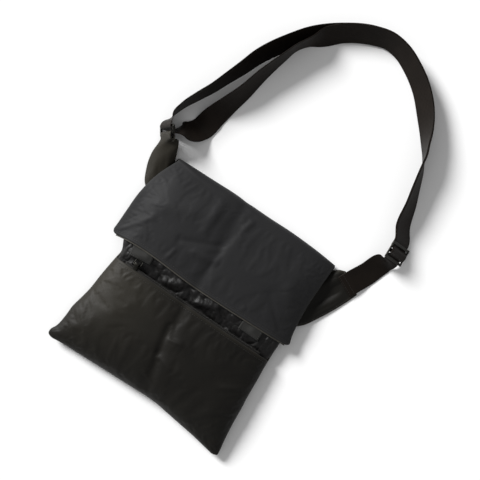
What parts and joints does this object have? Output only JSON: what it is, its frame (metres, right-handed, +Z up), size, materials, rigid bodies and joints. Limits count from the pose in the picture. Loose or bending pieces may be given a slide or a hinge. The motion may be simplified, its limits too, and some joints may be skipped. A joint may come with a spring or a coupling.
{
  "type": "flap shoulder bag",
  "caption": "Flat, softly filled cloth shoulder bag lying on its back, with a folded-over flap, an open zipped pouch, cloth wings, a ring and slider, and a looped webbing strap.",
  "frame": {"origin": "middle of the flat underside that the back panel rests on", "axes": "+X across the bag to its right, +Y from the bottom seam towards the strap, +Z up out of the bag's front"},
  "size_m": [0.4335, 0.6937, 0.0443],
  "materials": {
    "nylon": "smooth, tightly woven black nylon with a faint violet-grey sheen",
    "pouch_nylon": "soft matt black nylon, slightly warm",
    "lining_cloth": "thin, crumpled lining cloth with a low sheen",
    "webbing": "black ribbed nylon webbing",
    "tab_webbing": "dark grey closely woven tab webbing",
    "zip_tape": "dark grey twill tape and binding",
    "dark_metal": "dark plated metal, half gloss"
  },
  "bodies": {
    "root": {"back_panel": "pouch_nylon", "front_panel": "pouch_nylon", "lining": "lining_cloth", "flap": "nylon", "flap_hem": "zip_tape", "tab_left": "tab_webbing", "tab_right": "tab_webbing", "zip_tape": "zip_tape", "zip_slider": "dark_metal", "zip_pull": "dark_metal", "wing_left": "pouch_nylon", "ring_left": "dark_metal", "wing_right": "pouch_nylon", "strap_slider": "dark_metal", "strap": "webbing"}
  },
  "joints": []
}
